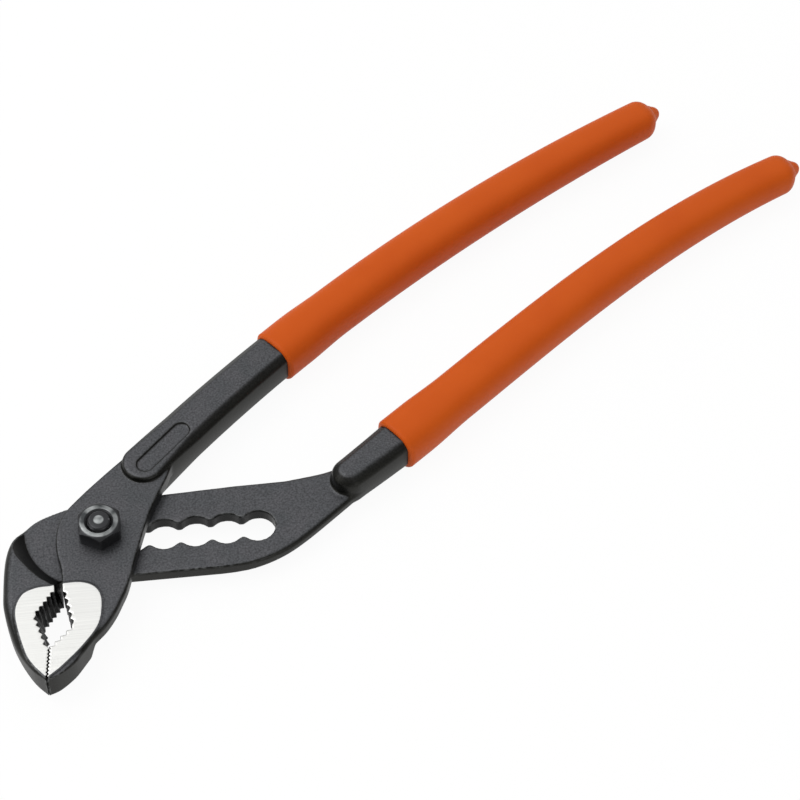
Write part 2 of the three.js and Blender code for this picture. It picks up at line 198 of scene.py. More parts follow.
# grain of 0.3 mm and stains of 4 mm
grain, stain = noise(tree, place, 0.3, 3), noise(tree, place, 4, 2)
tone = blend(tree, stain, linear("#2b2c2f"), linear("#3a3a3b"))
edge = add(tree, "NewGeometry", {}).outputs["Pointiness"]
worn = spread(tree, edge, 0.53, 0.62, high=0.55)
skin = blend(tree, worn, tone, linear("#8b8c8e"))
rough = spread(tree, grain, 0, 1, 0.28, 0.44)
bump = add(tree, "Bump", {"Height": grain, "Strength": 0.2, "Distance": 0.03 * MM}).outputs[0]
patch = spread(tree, stain, 0.38, 0.62)
steel = blend(tree, patch, linear("#3f4243"), linear("#aeb1b1"))
skin = blend(tree, marked(tree, "rubbed"), skin, steel)
tree.links.new(skin, shader.inputs["Base Color"])
tree.links.new(rough, shader.inputs["Roughness"])
tree.links.new(bump, shader.inputs["Normal"])
shader.inputs["Metallic"].default_value = 0.85
pivot_bolt.data.materials.append(oxide)

# Pivot washer: a thin steel ring, stamped and blacked, that lies loose between the bolt's head and the
# lower lever's plate so that the lever slides without scoring.
washer_hole, washer_radius, washer_floor, washer_thick, washer_ease = 4.4, 8.2, 2.1, 0.6, 0.18
washer_middle = (washer_hole + washer_radius) / 2
washer_top = washer_floor + washer_thick
ring = eased([
    (washer_middle, washer_floor), (washer_radius, washer_floor), (washer_radius, washer_top),
    (washer_hole, washer_top), (washer_hole, washer_floor), (washer_middle, washer_floor),
], washer_ease)
pivot_washer = ring_piece("pivot_washer_stamped", turned(ring[:, :1], ring[:, 1:], turn))
pivot_washer.data.materials.append(oxide)
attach(pivot_washer, "carrier")
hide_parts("pivot_washer")

# Lower lever: one drop forging of carbon steel with the left jaw, the slotted plate and the handle's
# shank, black phosphated; its teeth are cut before that finish and its jaw faces ground bright after.
lap = 6.65
plate_floor, plate_top, jaw_top = 2.8, 6.6, 10.5
ground_rise, ground_inset, ground_share = 0.25, 0.5, 0.45
jaw_tip, bite_top, bite_gap = (-15.2, -42.4), (-14.2, -33.0), 0.35
grip_root, grip_height, root_top, root_gap, slot_edge = -10.2, -17.2, -11.0, 2.0, 11.6
upper_grip_end, lower_grip_end = (-8.4, -27.4), (-17.1, -23.6)
tooth_lean, fine_depth, coarse_depth = 0.4, 0.42, 0.85
bite_teeth, grip_teeth, upper_jaw_teeth = 9, 5, 4
settings, pitch, scallop, cusp = 6, 8.0, 4.5, 1.44
slot_long = (settings - 1) * pitch
shoulder_at, shoulder_foot, shoulder_top = (-1.0, 3.5), 18.3, 21.7
cheek, plate_rise = (-8.3, 10.2), 11.6
lower_from = (slot_long + 21.2, 8.8)
lower_root, lower_mouth, lower_bare = 4.2, 4.8, 20.0
shank_half, shank_chamfer, shank_bulge, shank_past = 5.4, 1.8, 0.5, 2.0
tang_width, tang_height, tang_tip, tang_ease, sleeve_end = 4.6, 4.8, 3.6, 6.0, 5.0
tang_cut, tang_gap, far_off = 1.7, 0.05, 90.0
# runs, each a start and a length, over which the draft, the shoulder's slope and the roundings grow
draft_run, draft_out, slope_run, slope_more = (-32.0, 5.0), 1.75, (-8.0, 10.0), 1.6
jaw_run, jaw_least, jaw_more = (1.0, 9.0), 0.35, 2.2
tail_run, plate_least, plate_more = (34.0, 14.0), 0.5, 0.8
# radii of the small roundings, and of the fillets in inner corners
face_round, face_fillet, tooth_round, slot_round = 0.22, 0.2, 0.08, 0.25
shoulder_round, shoulder_fillet, shank_round, shank_fillet = 0.35, 0.25, 0.4, 0.8
# limits of the walls that face other steel, which the material paints near black as shade
steep_wall, grip_inset, slot_near, plate_clear = 0.6, 0.8, 0.5, 0.2
shoulder_near, facing_in, shoulder_right = 1.0, 0.45, -4.0


def ramp(at, run):
    """0 before the start of a run, 1 past its length, and even between."""
    start, long = run
    return np.clip((at - start) / long, 0, 1)


def curve_through(points, steps=6):
    """Points on a smooth curve through given ones: a cubic between each two neighbours, whose slope at
    either end is half the way from the point before it to the point after it."""
    points = np.asarray(points, float)
    first = np.arange(len(points) - 1)
    before = points[np.maximum(first - 1, 0)][:, None]
    start, end = points[:-1][:, None], points[1:][:, None]
    after = points[np.minimum(first + 2, len(points) - 1)][:, None]
    leave, arrive = (end - before) / 2, (after - start) / 2
    t = np.linspace(0, 1, steps, endpoint=False)[None, :, None]
    curve = (2 * start - 2 * end + leave + arrive) * t ** 3
    curve = curve + (3 * end - 3 * start - 2 * leave - arrive) * t ** 2 + leave * t + start
    return np.vstack([curve.reshape(-1, 2), points[-1:]])


def saw(start, end, count, depth):
    """Saw teeth along a line: crests on it and gullets to its left, each set forward by the lean."""
    start, end = np.array(start), np.array(end)
    step = (end - start) / count
    left = np.array([-step[1], step[0]]) / np.hypot(*step) * depth
    crest = start + np.arange(count)[:, None] * step
    return np.stack([crest, crest + tooth_lean * step + left], axis=1).reshape(-1, 2)


def arc(x, y, radius, start, stop, steps=9):
    """Points on an arc about a plan point."""
    angle = np.linspace(start, stop, steps)
    return np.stack([x + radius * np.cos(angle), y + radius * np.sin(angle)], axis=-1)


def handle_line(start, long, angle, leave, arrive):
    """A handle's centre line, a cubic whose two pulls are a third of its length: points a quarter of a
    millimetre apart, the direction at each, and the distance to it along the line."""
    def way(degrees):
        return np.array([np.cos(np.radians(degrees)), np.sin(np.radians(degrees))])
    start = np.array(start)
    tip = start + long * way(angle)
    pulls = start, start + long / 3 * way(leave), tip - long / 3 * way(arrive), tip
    t = np.linspace(0, 1, 2000)[:, None]
    weights = (1 - t) ** 3, 3 * t * (1 - t) ** 2, 3 * t * t * (1 - t), t ** 3
    line = sum(weight * pull for weight, pull in zip(weights, pulls))
    along = np.concatenate([[0], np.cumsum(np.hypot(*np.diff(line, axis=0).T))])
    even = np.linspace(0, along[-1], int(along[-1] / 0.25))
    line = np.stack([np.interp(even, along, line[:, k]) for k in (0, 1)], axis=-1)
    slope = np.gradient(line, even, axis=0)
    return line, slope / np.hypot(*slope.T)[:, None], even


def plan_distance(x, y, corners):
    """Distance in plan from a closed outline, below zero inside: the least distance to one of its
    sides, and inside where a line toward +X crosses an odd number of them."""
    corners = np.asarray(corners, float)
    sides = np.roll(corners, -1, axis=0) - corners
    nearest, inside = np.inf, False
    for (ax, ay), (dx, dy) in zip(corners, sides):
        if dx * dx + dy * dy < 1e-9:
            continue
        u, v = x - ax, y - ay
        along = np.clip((u * dx + v * dy) / (dx * dx + dy * dy), 0, 1)
        nearest = np.minimum(nearest, (u - along * dx) ** 2 + (v - along * dy) ** 2)
        crossed = ((v < 0) != (v < dy)) & ((v * dx - u * dy > 0) == (dy > 0))
        inside = inside ^ crossed
    return np.where(inside, -1, 1) * np.sqrt(nearest)


def shank_distance(x, y, line, root, mouth, bare, end):
    """Distance in plan from a shank: to the nearest point of its centre line, less the half width,
    which changes evenly from the round end to the sleeve's mouth; it is cut off square at its end."""
    points, way, along = line
    kept = (along >= root) & (along <= end + 4)
    points, way, along = points[kept], way[kept], along[kept]
    gap = (x[..., None] - points[:, 0]) ** 2 + (y[..., None] - points[:, 1]) ** 2
    near = gap.argmin(axis=-1)
    half = root + (mouth - root) * (along[near] - root) / (bare - root)
    stop = np.searchsorted(along, end)
    past = (x - points[stop, 0]) * way[stop, 0] + (y - points[stop, 1]) * way[stop, 1]
    return np.maximum(np.sqrt(gap.min(axis=-1)) - half, past)


def both(a, b, radius):
    """What two solids share, from their distances, with its edge rounded to a radius."""
    corner = np.hypot(np.maximum(a + radius, 0), np.maximum(b + radius, 0))
    return np.minimum(-radius, np.maximum(a, b)) + corner


def either(a, b, radius):
    """Two solids joined, from their distances, with the inner corner filled to a radius."""
    corner = np.hypot(np.maximum(radius - a, 0), np.maximum(radius - b, 0))
    return np.maximum(radius, np.minimum(a, b)) - corner


def lines_at(*runs):
    """Grid lines from runs of (start, spacing), the last giving the end."""
    parts = []
    for (start, spacing), (stop, _) in zip(runs[:-1], runs[1:]):
        count = max(round((stop - start) / spacing), 1)
        parts.append(np.linspace(start, stop, count, endpoint=False))
    return np.concatenate([*parts, [runs[-1][0]]])


def forged_surface(field, lines):
    """Quads where a distance field on a box grid is zero: one point in each cell that the surface
    passes, at the mean of its crossings of the cell's edges, and a quad round each edge crossed."""
    inside = field < 0
    wide, deep, tall = np.array(field.shape) - 1
    count = sum(
        inside[i:i + wide, j:j + deep, k:k + tall].astype(np.int8)
        for i in (0, 1) for j in (0, 1) for k in (0, 1))
    passed = (count > 0) & (count < 8)
    cells = np.argwhere(passed)
    number = np.full(passed.shape, -1)
    number[passed] = np.arange(len(cells))
    total, crossings = np.zeros((len(cells), 3)), np.zeros((len(cells), 1))
    quads = []
    for axis in range(3):
        one, two = (axis + 1) % 3, (axis + 2) % 3
        unit = np.eye(3, dtype=int)
        for i in (0, 1):
            for j in (0, 1):
                start = cells + i * unit[one] + j * unit[two]
                stop = start + unit[axis]
                a, b = field[tuple(start.T)], field[tuple(stop.T)]
                crossed = (a < 0) != (b < 0)
                share = np.where(crossed, a / np.where(crossed, a - b, 1), 0)
                low = np.stack([lines[k][start[:, k]] for k in range(3)], axis=-1)
                high = np.stack([lines[k][stop[:, k]] for k in range(3)], axis=-1)
                total += crossed[:, None] * (low + share[:, None] * (high - low))
                crossings += crossed[:, None]
        near = np.moveaxis(inside, axis, 0)
        edges = np.argwhere(near[:-1] != near[1:])
        order = [axis] + [k for k in range(3) if k != axis]
        node = np.empty_like(edges)
        node[:, order] = edges
        around = [(-1, -1), (0, -1), (0, 0), (-1, 0)]
        beside = [node + p * unit[one] + q * unit[two] for p, q in around]
        quad = np.stack([number[tuple(cell.T)] for cell in beside], axis=-1)
        leaving = inside[tuple(node.T)]
        quads.append(np.where(leaving[:, None], quad, quad[:, ::-1]))
    return total / crossings, np.vstack(quads)


def tang_bar(line, start, end):
    """The tapering tang inside the sleeve: a rectangle with cut corners carried along the centre line,
    its half sizes falling evenly to the tip, closed at both ends."""
    points, way, along = line
    at = np.linspace(start, end, 40)
    at = np.concatenate([at[:1], at, at[-1:]])
    fall = ramp(at, (start, end - start)) * (tang_width - tang_tip)
    scale = np.ones(len(at))
    scale[[0, -1]] = 0
    # each corner lies on a side, marked 1, and short of the next one, marked 2, by the cut
    corner = np.array([(1, -2), (1, 2), (2, 1), (-2, 1), (-1, 2), (-1, -2), (-2, -1), (2, -1)])
    on_side = np.abs(corner) == 1
    half = np.stack([tang_width - fall, tang_height - fall], axis=-1)[:, None, :]
    size = np.where(on_side, half, half - tang_cut) * np.sign(corner) * scale[:, None, None]
    x, y = (np.interp(at, along, points[:, k])[:, None] for k in (0, 1))
    wx, wy = (np.interp(at, along, way[:, k])[:, None] for k in (0, 1))
    ring = np.stack([x - wy * size[..., 0], y + wx * size[..., 0], lap + size[..., 1]], axis=-1)
    return ring.reshape(-1, 3), ring_quads(len(at), len(corner))


def surface_turn(mesh):
    """Normal of each point and how sharply the surface bends outwards there: the mean, over its edges,
    of the change of the normal along the edge for a millimetre of it; both are evened out with the
    neighbours' mean."""
    count = len(mesh.vertices)
    place, normal = np.empty(3 * count, np.float32), np.empty(3 * count, np.float32)
    mesh.vertices.foreach_get("co", place)
    mesh.vertex_normals.foreach_get("vector", normal)
    place, normal = place.reshape(-1, 3) / MM, normal.reshape(-1, 3)
    ends = np.empty(2 * len(mesh.edges), np.int32)
    mesh.edges.foreach_get("vertices", ends)
    one, two = ends.reshape(-1, 2).T
    step = place[two] - place[one]
    bend = ((normal[two] - normal[one]) * step).sum(axis=1) / np.maximum((step ** 2).sum(axis=1), 1e-9)
    share = np.maximum(np.bincount(ends, minlength=count), 1)
    turn = (np.bincount(one, bend, count) + np.bincount(two, bend, count)) / share

    def evened(value):
        beside = np.bincount(one, value[two], count) + np.bincount(two, value[one], count)
        return (value + beside / share) / 2
    for _ in range(2):
        turn = evened(turn)
        normal = np.stack([evened(part) for part in normal.T], axis=-1)
    return normal, turn


def lever_piece(name, surface, tang):
    """A lever from its forged surface and its tang, with three attributes: ground, below zero where the
    raised jaw faces are ground, front and back, edge, how sharply the surface bends outwards, and flat,
    one on faces square to the pivot axis, zero on the walls and -1 on the walls that face other steel."""
    points, quads = surface
    x, y, z = points.T
    face = plan_distance(x, y, ground_outline) + ground_inset
    face = np.maximum(face, (jaw_top + ground_share * ground_rise - lap) - np.abs(z - lap))
    ground = np.concatenate([face, np.ones(len(tang[0]))])
    piece = quad_piece(name, np.vstack([points, tang[0]]), np.vstack([quads, tang[1] + len(points)]))
    normal, edge = surface_turn(piece.data)
    # flat also carries painted shade: the material darkens the walls by it and paints those marked -1
    # near black
    flat = np.abs(normal[:, 2])
    # walls in the grip, in the slot and on the shoulder, which see little but other steel: marked -1 so
    # that the material paints them near black as shade
    in_grip = plan_distance(x, y, ground_outline) < -grip_inset
    in_slot = plan_distance(x, y, slot) < slot_near
    ahead = np.stack([shoulder_at[0] - x, shoulder_at[1] - y])
    far = np.hypot(*ahead)
    inward = (normal[:len(x), 0] * ahead[0] + normal[:len(x), 1] * ahead[1]) / far
    on_shoulder = (far > shoulder_foot - shoulder_near) & (far < shoulder_top + shoulder_near)
    on_shoulder &= (inward > facing_in) & (x < shoulder_right) & (z > plate_top + plate_clear)
    painted_dark_walls = ((in_grip | in_slot) & (flat[:len(x)] < steep_wall)) | on_shoulder
    flat[:len(x)][painted_dark_walls] = -1
    for label, values in (("ground", ground), ("edge", edge), ("flat", flat)):
        made = piece.data.attributes.new(label, "FLOAT", "POINT")
        made.data.foreach_set("value", values.astype(np.float32))
    return piece


bite = np.vstack([
    saw(bite_top, jaw_tip, bite_teeth, fine_depth), [jaw_tip], [(jaw_tip[0], 2 * jaw_tip[1])],
])
lower_edge = np.vstack([
    [(grip_root - root_gap, -slot_edge)],
    saw((grip_root - root_gap, grip_height), lower_grip_end, grip_teeth, -coarse_depth),
    saw(lower_grip_end, (bite_top[0] - bite_gap, bite_top[1]), grip_teeth, -coarse_depth),
    bite - [bite_gap, 0],
])
right_of_lower = np.vstack([lower_edge, [(far_off, 2 * jaw_tip[1]), (far_off, -slot_edge)]])
# forging draft: above the bite the jaw's wall stands further out at the back
draft = ramp(right_of_lower[:, 1], draft_run) * draft_out
right_at_back = right_of_lower + np.stack([draft, 0 * draft], axis=-1)
ground_outline = np.vstack([
    [jaw_tip],
    curve_through([
        (-11.8, -39.9), (-5.9, -34.1), (-1.3, -27.7), (-0.2, -20.5), (-1.7, -16.5), (-5.2, -14.6),
        (-9.5, -14.4)]),
    curve_through([
        (-13.5, -14.9), (-17.3, -15.2), (-20.9, -17.2), (-22.7, -23), (-20.6, -34), (-18.2, -38.8)]),
])
lower_back = [
    (-16.6, 6.9), (-22.0, 1.0), (-24.3, -5.0), (-25.2, -15), (-25, -21), (-22.7, -31), (-18.9, -38.4),
]
lower_jaw = np.vstack([
    curve_through([cheek, *lower_back, jaw_tip]),
    [(grip_root + root_gap, jaw_tip[1]), (grip_root + root_gap, -slot_edge), (0, 0)],
])
belly = np.array([(-10, 0), (-2, 0.7), (5.4, 3.1), (11.8, 7)]) + [slot_long, -slot_edge]
tail = np.array([
    (0.6, -5.4), (6.8, -0.2), (8.8, 8.2), (4.8, 8.2), (0.8, 7.1), (-4.2, 5.8), (-13.2, 4.6),
]) + lower_from
plate_side = np.vstack([
    curve_through([*belly, tail[0], tail[1]]), tail[2:3], curve_through(tail[3:]),
    [(0, plate_rise), cheek],
])
lower_plan = np.vstack([[(grip_root - root_gap, -slot_edge)], plate_side, [(2 * cheek[0], cheek[1] / 2)]])
high = np.sqrt((scallop + cusp) ** 2 - (pitch / 2) ** 2)
lean = np.arctan2(high, pitch / 2)
last = settings - 1
slot = np.vstack(
    [np.vstack([
        arc(i * pitch, 0, scallop, lean if i < last else 0, np.pi - lean if i else np.pi),
        arc((i - 0.5) * pitch, high, cusp, -lean, lean - np.pi) if i else np.empty((0, 2)),
    ]) for i in range(last, -1, -1)]
    + [np.vstack([
        arc(i * pitch, 0, scallop, np.pi + lean if i else np.pi, 2 * np.pi - (lean if i < last else 0)),
        arc((i + 0.5) * pitch, -high, cusp, np.pi - lean, lean) if i < last else np.empty((0, 2)),
    ]) for i in range(settings)])
lower_line = handle_line(lower_from, long=167.5, angle=34.4, leave=36.1, arrive=21.6)

lines = (
    lines_at((-26.2, 0.26), (-18, 0.17), (-12, 0.24), (-8, 0.38), (84, 0)),
    lines_at((-43.2, 0.17), (-32.5, 0.24), (-13, 0.33), (30, 0)),
    lines_at((0.8, 0.26), (12.5, 0)),
)
x, y = np.meshgrid(lines[0], lines[1], indexing="ij")
z = lines[2][None, None, :]
middle = np.abs(z - lap)
far = np.hypot(x - shoulder_at[0], y - shoulder_at[1])[..., None]
# the shoulder's slope runs out flatter toward the jaw's back
slope_long = shoulder_top - shoulder_foot + slope_more * ramp(y, slope_run)[..., None]
slant = slope_long / (jaw_top - plate_top)
shoulder = (far - shoulder_foot - slant * (z - plate_top)) / np.hypot(1, slant)
shoulder = both(shoulder, plate_top - z, shoulder_round)
jaw_round = (jaw_least + jaw_more * ramp(y - jaw_tip[1], jaw_run))[..., None]
jaw = both(plan_distance(x, y, lower_jaw)[..., None], middle - (jaw_top - lap), jaw_round)
jaw = both(jaw, -shoulder, shoulder_fillet)
face_height = middle - (jaw_top + ground_rise - lap)
faces = both(plan_distance(x, y, ground_outline)[..., None], face_height, face_round)
jaw = either(jaw, faces, face_fillet)
plate_round = (plate_least + plate_more * ramp(x, tail_run))[..., None]
plate_height = np.maximum(plate_floor - z, z - plate_top)
plate = both(plan_distance(x, y, lower_plan)[..., None], plate_height, plate_round)
field = np.minimum(jaw, plate)
depth = np.clip((jaw_top - z) / (jaw_top - plate_floor), 0, 1)
bite_wall = (1 - depth) * plan_distance(x, y, right_of_lower)[..., None]
bite_wall = bite_wall + depth * plan_distance(x, y, right_at_back)[..., None]
field = both(field, -bite_wall, tooth_round)
lower_stop = lower_bare + shank_past
flat_way = shank_distance(x, y, lower_line, lower_root, lower_mouth, lower_bare, lower_stop)[..., None]
flat_way = flat_way - shank_bulge * np.clip(1 - (middle / shank_half) ** 2, 0, 1)
shank = np.maximum(flat_way, middle - shank_half)
shank = both(shank, (flat_way + middle - shank_half + shank_chamfer) * np.sqrt(0.5), shank_round)
field = either(field, shank, shank_fillet)
field = both(field, -plan_distance(x, y, slot)[..., None], slot_round)
lower_length = lower_line[2][-1]
lower_lever = lever_piece(
    "lower_lever_forged", forged_surface(field, lines),
    tang_bar(lower_line, lower_stop + tang_gap, lower_length - sleeve_end))
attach(lower_lever, "lower")
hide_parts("lower_lever")

# Black phosphate on a blasted forging: a satin, slightly mottled dark grey with a fine tooth from the
# blasting, paler where edges rub, and painted shade that makes the walls darker and faintly brown. The
# ground faces are bright with fine lines across the jaw, and walls that face other steel are painted
# nearly black as shade.
forged = bpy.data.materials.new("phosphated forged steel")
forged.use_nodes = True
tree = forged.node_tree
shader = tree.nodes["Principled BSDF"]
place = add(tree, "TexCoord", {}).outputs["Object"]
# blasted grain of 0.5 mm, drawn coarser than the real 0.1 mm so that it shows; mottling of 6 mm
grain, mottle = noise(tree, place, 0.5, 3), noise(tree, place, 6, 3)
top = blend(tree, mottle, linear("#404345"), linear("#504f52"))
flat = marked(tree, "flat")
# painted shade: walls darker and faintly brown than the faces square to the pivot axis, and near black
# where they face other steel
painted_wall_shade = blend(tree, spread(tree, flat, -1, -0.5), linear("#080808"), linear("#1d1d1a"))
tone = blend(tree, spread(tree, flat, 0.74, 0.98), painted_wall_shade, top)
speck = spread(tree, grain, 0.3, 0.7, 0.62, 1.38)
tone = add(tree, "HueSaturation", {"Value": speck, "Color": tone}).outputs[0]
# edges rub bright in short dashes of 1.5 mm
dash = spread(tree, noise(tree, place, 1.5, 2), 0.42, 0.62)
worn = spread(tree, marked(tree, "edge"), 0.35, 1.1, high=0.3)
worn = add(tree, "Math", {0: worn, 1: dash}, operation="MULTIPLY").outputs[0]
black = blend(tree, worn, tone, linear("#8a8c8d"))
bright = spread(tree, marked(tree, "ground"), 0.05, -0.05)
# grinding lines along X, 0.3 mm apart and about 20 mm long
stretch = add(tree, "Mapping", {"Vector": place, "Scale": (0.015, 1, 1)}).outputs[0]
line = noise(tree, stretch, 0.3, 2)
shine = blend(tree, line, linear("#c6c6c4"), linear("#e2e2df"))
skin = blend(tree, bright, black, shine)
matt, satin = spread(tree, grain, 0, 1, 0.34, 0.46), spread(tree, line, 0, 1, 0.26, 0.4)
rough = add(tree, "Mix", {0: bright, 2: matt, 3: satin}).outputs[0]
height = add(tree, "Mix", {0: bright, 2: grain, 3: line}).outputs[0]
bump = add(tree, "Bump", {"Height": height, "Strength": 0.3, "Distance": 0.04 * MM}).outputs[0]
metal = spread(tree, bright, 0, 1, 0.8, 1)
tree.links.new(skin, shader.inputs["Base Color"])
tree.links.new(rough, shader.inputs["Roughness"])
tree.links.new(metal, shader.inputs["Metallic"])
tree.links.new(bump, shader.inputs["Normal"])
lower_lever.data.materials.append(forged)

# Upper lever: the second forging, of the same steel and finish. Its plate laps over the lower one's and
# carries the bolt; its shank stands up from the plate in a round-ended step with a shallow recess.
upper_floor = 6.7
upper_from = (8.4, 15.4)
upper_root, upper_mouth, upper_bare = 5.5, 5.1, 54.6
shank_clear, lap_free, opening, opening_back = 21.0, 12.4, 72.0, 76.0
recess_long, recess_wide, recess_deep, recess_from, recess_aside = 18.4, 4.6, 0.5, 12.0, -1.0
hole_radius, hole_flat, rim_chamfer = 4.35, 2.8, 0.5
tip_run, flank_run, plate_run, chamfer_run = (-43.0, 6.0), (-42.0, 9.0), (13.0, 6.0), (-8.0, 16.0)
edge_round, edge_least, flank_round = 0.6, 0.3, 0.5
room_round, step_round, clear_round, step_fillet = 0.3, 0.3, 0.35, 0.2
recess_fillet, recess_round = 0.25, 0.12
upper_edge = np.vstack([
    [(grip_root, root_top)],
    saw((grip_root, grip_height), upper_grip_end, grip_teeth, coarse_depth),
    saw(upper_grip_end, bite_top, upper_jaw_teeth, coarse_depth),
    bite,
])
left_of_upper = np.vstack([upper_edge, [(-far_off, 2 * jaw_tip[1]), (-far_off, root_top)]])
upper_back = [
    (-12.2, -41.2), (-8.3, -38.2), (-5.4, -34.6), (-2.9, -31.3), (0, -28.3), (2.6, -24.5), (4.6, -20.5),
    (6.3, -16.5), (9.2, -6.5), (13, 4.8),
]
upper_tail = np.array([(9.6, -0.3), (12.1, 5.6), (5.1, 11.8), (-3.7, 4.5)]) + upper_from
upper_plan = np.vstack([
    curve_through([jaw_tip, *upper_back, upper_tail[0]]), upper_tail[1:2],
    curve_through([*upper_tail[2:], (-5.3, 10.5), (-10, 4.6), (-11.4, -3), (grip_root, root_top)]),
    [(2 * grip_root, root_top), (2 * grip_root, jaw_tip[1])],
])
upper_line = handle_line(upper_from, long=191.8, angle=35.9, leave=46.2, arrive=26.6)


def lap_cut(degrees):
    """Outline in plan of the room that the lower plate sweeps when the jaws open by an angle."""
    swing = np.radians(degrees)
    apex = np.array([-lap_free * np.tan(swing / 2), -lap_free])
    return np.vstack([
        [(-far_off, -lap_free)], [apex], [apex + far_off * np.array([np.cos(swing), -np.sin(swing)])],
        [(far_off, -far_off), (far_off, far_off), (-far_off, far_off)],
    ])


lines = (
    lines_at((-20.6, 0.17), (-12, 0.25), (-6, 0.36), (60, 0)),
    lines_at((-43.2, 0.17), (-32.5, 0.25), (-13, 0.36), (64, 0)),
    lines_at((0.8, 0.27), (12.5, 0)),
)
x, y = np.meshgrid(lines[0], lines[1], indexing="ij")
z = lines[2][None, None, :]
middle = np.abs(z - lap)
# the edge is eased most along the jaw's flank, least at its tip and round the plate
flank = ramp(y, flank_run) * ramp(-y, plate_run)
plate_round = (edge_round * np.maximum(ramp(y, tip_run), edge_least) + flank_round * flank)[..., None]
plate = both(plan_distance(x, y, upper_plan)[..., None], middle - (jaw_top - lap), plate_round)
face_height = middle - (jaw_top + ground_rise - lap)
faces = both(plan_distance(x, y, ground_outline)[..., None], face_height, face_round)
field = either(plate, faces, face_fillet)
# the end of the lap cut leans, and is further open at the back
depth = np.clip((upper_floor - z) / (upper_floor - plate_floor), 0, 1)
room = (1 - depth) * plan_distance(x, y, lap_cut(opening))[..., None]
room = room + depth * plan_distance(x, y, lap_cut(opening_back))[..., None]
field = both(field, -np.maximum(room, z - upper_floor), room_round)
field = both(field, -plan_distance(x, y, left_of_upper)[..., None], tooth_round)
upper_stop = upper_bare + shank_past
flat_way = shank_distance(x, y, upper_line, upper_root, upper_mouth, upper_bare, upper_stop)[..., None]
flat_way = flat_way - shank_bulge * np.clip(1 - (middle / shank_half) ** 2, 0, 1)
start = np.searchsorted(upper_line[2], recess_from)
way = upper_line[1][start]
over, up = x - upper_line[0][start, 0], y - upper_line[0][start, 1]
along, aside = over * way[0] + up * way[1], up * way[0] - over * way[1] - recess_aside
# the shank's chamfer grows from the round end, where the step is low and crisp
chamfer = (rim_chamfer + (shank_chamfer - rim_chamfer) * ramp(along, chamfer_run))[..., None]
shank = np.maximum(flat_way, middle - shank_half)
shank = both(shank, (flat_way + middle - shank_half + chamfer) * np.sqrt(0.5), step_round)
swept = np.maximum(np.hypot(x, y)[..., None] - shank_clear, z - upper_floor)
shank = both(shank, -swept, clear_round)
field = either(field, shank, step_fillet)
straight = (recess_long - recess_wide) / 2
recess = np.hypot(np.maximum(np.abs(along) - straight, 0), aside)[..., None] - recess_wide / 2
recess = both(recess, lap + shank_half - recess_deep - z, recess_fillet)
field = both(field, -recess, recess_round)
hole = np.maximum(np.hypot(x, y) - hole_radius, np.abs(y) - hole_flat)[..., None]
field = np.maximum(field, -hole)
upper_length = upper_line[2][-1]
upper_lever = lever_piece(
    "upper_lever_forged", forged_surface(field, lines),
    tang_bar(upper_line, upper_stop + tang_gap, upper_length - sleeve_end))
upper_lever.data.materials.append(forged)
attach(upper_lever, "upper")
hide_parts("upper_lever")

# Pivot nut: a hexagon nut, 10.6 mm across its flats, cold formed and tapped; its top corners are
# turned off to a cone and the thread's mouth is countersunk. Blacked like the bolt.
nut_across, nut_floor, nut_top = 10.6, 10.55, 15.15
nut_hole, nut_sink, nut_slope = 3.05, 0.6, 0.62
nut_foot, foot_ease, face_ease, sink_ease = 0.3, 0.06, 0.12, 0.06
nut_chamfer, corner_cut, nut_rubbed, rubbed_depth = 0.45, 0.12, 0.7, 0.03
nut_face = nut_across / 2 - nut_chamfer
sector = np.mod(turn - np.pi / 2 + np.pi / 6, np.pi / 3) - np.pi / 6
wide = nut_across / 2 / np.cos(np.pi / 6 - np.abs(sector))
wide = np.minimum(wide, nut_across / np.sqrt(3) - corner_cut)
cone = nut_top - nut_slope * (wide - nut_face)
# rows of radius and height: up from the hole's foot, round the hexagon, over the cone, into the sink
profile = [
    (nut_hole, nut_floor + nut_foot), (nut_hole + nut_foot, nut_floor), (wide - nut_foot, nut_floor),
    (wide - foot_ease, nut_floor + foot_ease), (wide, nut_floor + nut_foot),
    (wide, cone - 0.2), (wide - 0.05, cone), (wide - 0.2, cone + 0.16),
    (nut_face + face_ease, nut_top - 0.09), (nut_face - face_ease, nut_top),
    (nut_hole + nut_sink + face_ease, nut_top), (nut_hole + nut_sink, nut_top - sink_ease),
    (nut_hole, nut_top - nut_sink), (nut_hole, nut_floor + nut_foot),
]
nut_rings = [turned(radius, height, turn) for radius, height in profile]
pivot_nut = ring_piece("pivot_nut_hexagon", np.vstack(nut_rings), sharp=24)
burnish(pivot_nut, nut_top - rubbed_depth, nut_across, nut_rubbed)
pivot_nut.data.materials.append(oxide)
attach(pivot_nut, "upper")
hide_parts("pivot_nut")

# Handle sleeves: soft orange PVC that the hot tangs were dipped in, so they fit like a skin, thin
# toward the tip and end in the nib of the last drop. The mouth has a slightly thicker rolled edge.
sleeve_width, sleeve_height, sleeve_bead = 6.4, 6.2, 0.4
bead_long, bead_ease, sleeve_tip, lip_long = 8.0, 14.0, 5.3, 1.3
sleeve_square, hollow_square, mouth_square = 2.6, 7.0, 3.5
dome_long, dome_from, dome_to, nib_long = 4.8, 4, 58, 2.0
hollow_past, hollow_gap, mouth_deep, mouth_gap, lip_gap, lip_wall = 0.6, 0.2, 3.0, 0.06, 0.04, 0.12
# the nib's half sizes at distances before the tip
nib_rows = (2.2, 2.45), (1.7, 2.2), (1.1, 1.85), (0.6, 1.45), (0.25, 1.0), (0.06, 0.5), (0, 0)


